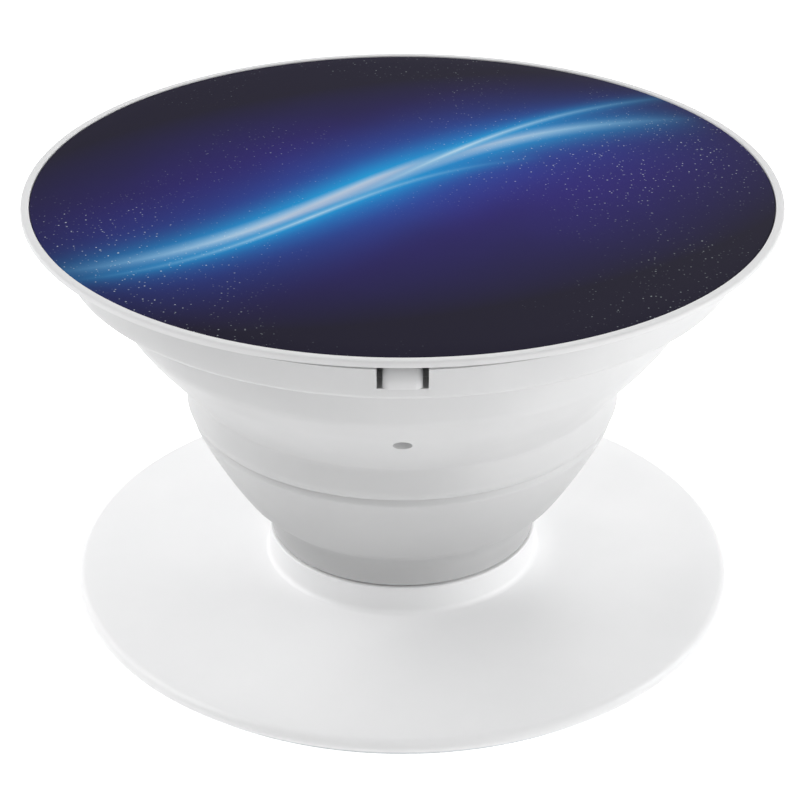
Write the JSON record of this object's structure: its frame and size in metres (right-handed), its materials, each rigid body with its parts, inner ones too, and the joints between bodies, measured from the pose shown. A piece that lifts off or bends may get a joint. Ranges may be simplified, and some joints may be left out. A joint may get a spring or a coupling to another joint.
{
  "type": "collapsible phone grip",
  "caption": "Collapsible phone grip: a round cap with a printed face, snapped into a white folding neck that turns on a round stick-on base plate.",
  "frame": {"origin": "centre of the underside of the adhesive pad", "axes": "+Z along the grip's axis, from the phone towards the printed cap; -Y towards the neck's vent hole, at the front of the picture"},
  "size_m": [0.04, 0.04, 0.0239],
  "materials": {
    "gel": "tacky gel",
    "white_plastic": "satin",
    "white_elastomer": "soft satin",
    "printed_film": "printed"
  },
  "bodies": {
    "base": {"adhesive_pad": "gel", "base_plate": "white_plastic"},
    "neck": {"accordion_neck": "white_elastomer"},
    "top": {"top_cap": "white_plastic", "print_disc": "printed_film"}
  },
  "joints": [
    {"name": "swivel", "type": "hinge", "parent": "base", "child": "neck", "pos_m": [0, 0, 0.00355], "axis": [0, 0, 1], "continuous": true},
    {"name": "collapse", "type": "slide", "parent": "neck", "child": "top", "axis": [0, 0, -1], "range_m": [0, 0.0168], "deforming": ["accordion_neck"]}
  ]
}
